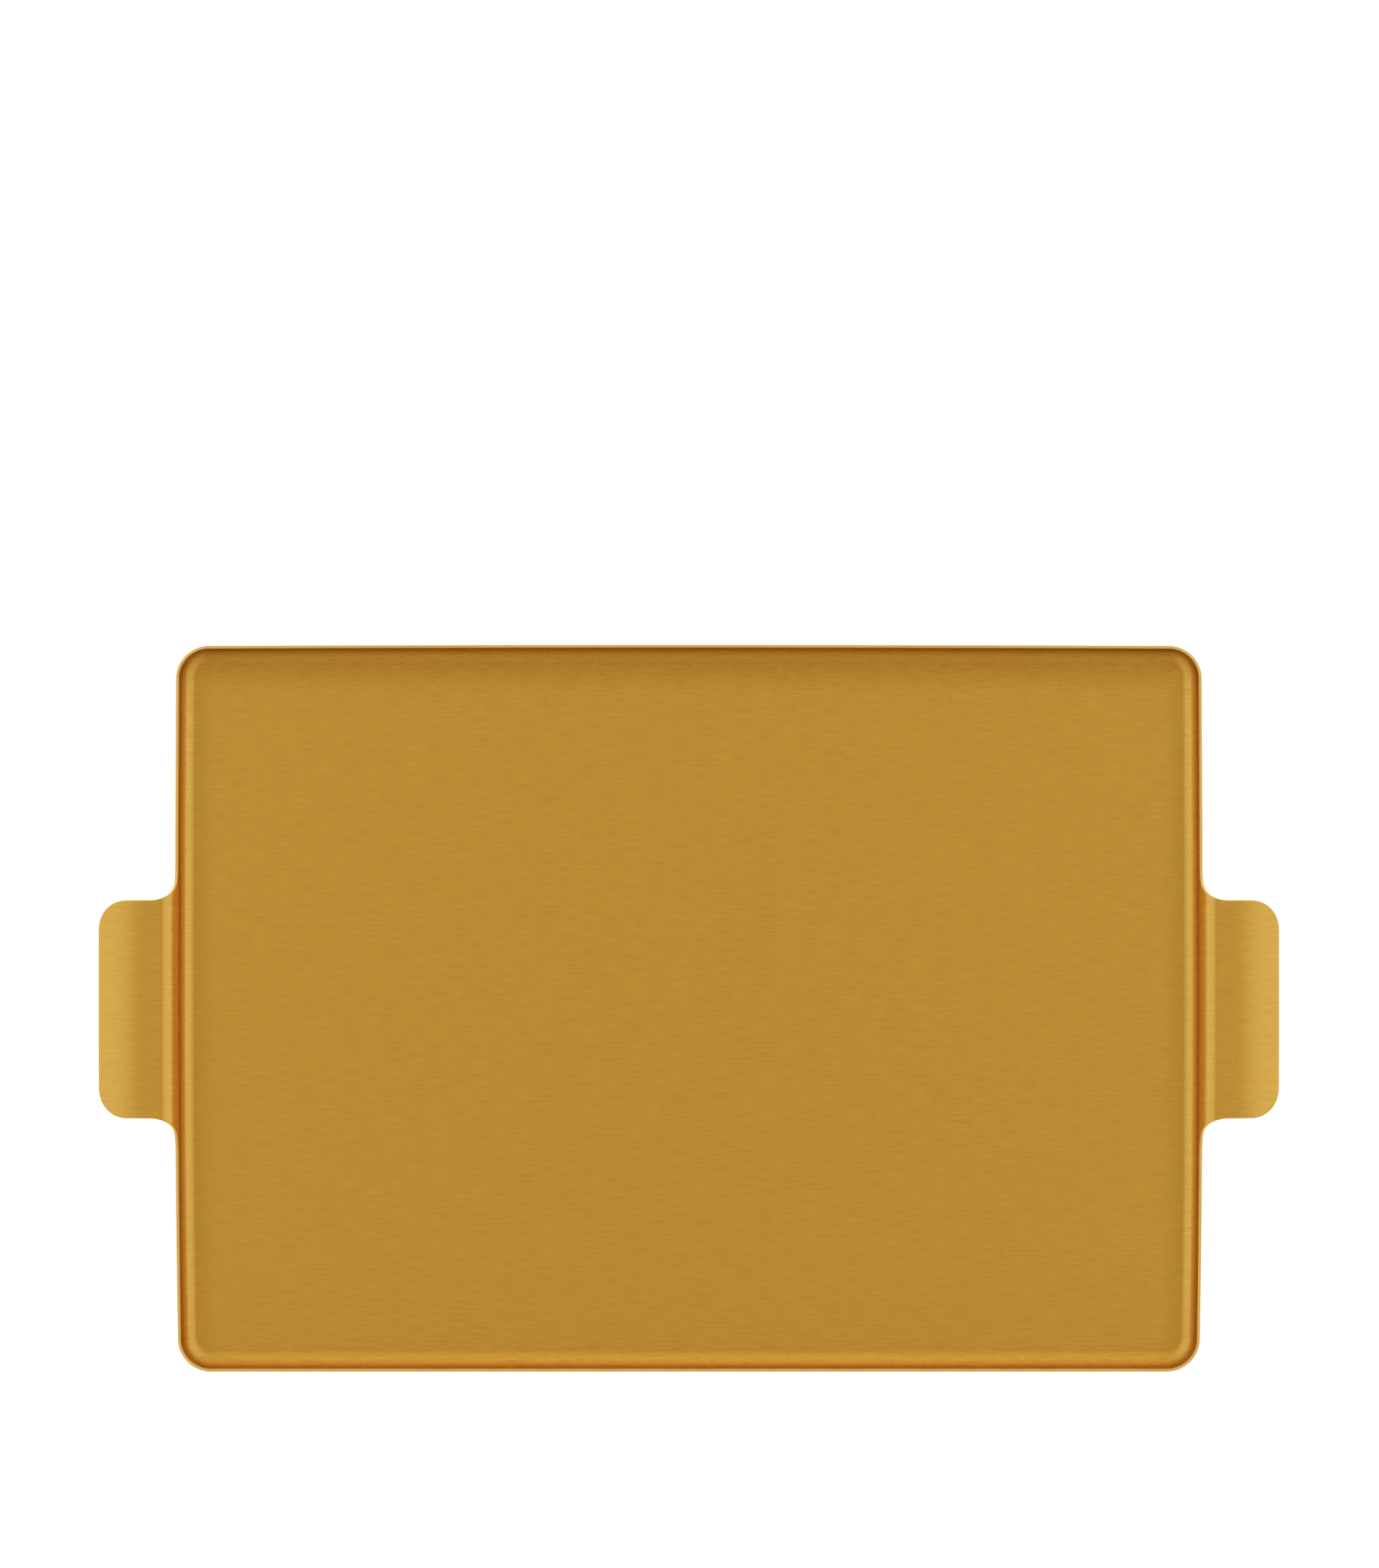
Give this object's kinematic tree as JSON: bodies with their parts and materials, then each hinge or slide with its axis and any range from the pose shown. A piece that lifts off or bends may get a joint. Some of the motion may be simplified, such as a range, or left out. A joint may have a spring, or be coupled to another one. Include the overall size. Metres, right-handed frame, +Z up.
{
  "type": "serving tray",
  "caption": "Shallow rectangular serving tray pressed from one satin brass-coloured sheet, with integral rolled-over wing handles on its short sides and stick-on bumper feet.",
  "frame": {"origin": "on the surface that the feet stand on, under the middle of the tray", "axes": "+X along the long side, through both handles; +Y across the tray, from the front long side to the back one; +Z up, out of the tray's open top"},
  "size_m": [0.4816, 0.297, 0.0219],
  "materials": {
    "sheet_metal": "satin, brushed along the length",
    "bumper": "soft clear polyurethane",
    "adhesive": "clear acrylic adhesive film"
  },
  "bodies": {
    "root": {"tray_pan": "sheet_metal", "foot_bumper_front_left": "bumper", "foot_adhesive_front_left": "adhesive", "foot_bumper_front_right": "bumper", "foot_adhesive_front_right": "adhesive", "foot_bumper_back_left": "bumper", "foot_adhesive_back_left": "adhesive", "foot_bumper_back_right": "bumper", "foot_adhesive_back_right": "adhesive"}
  },
  "joints": []
}
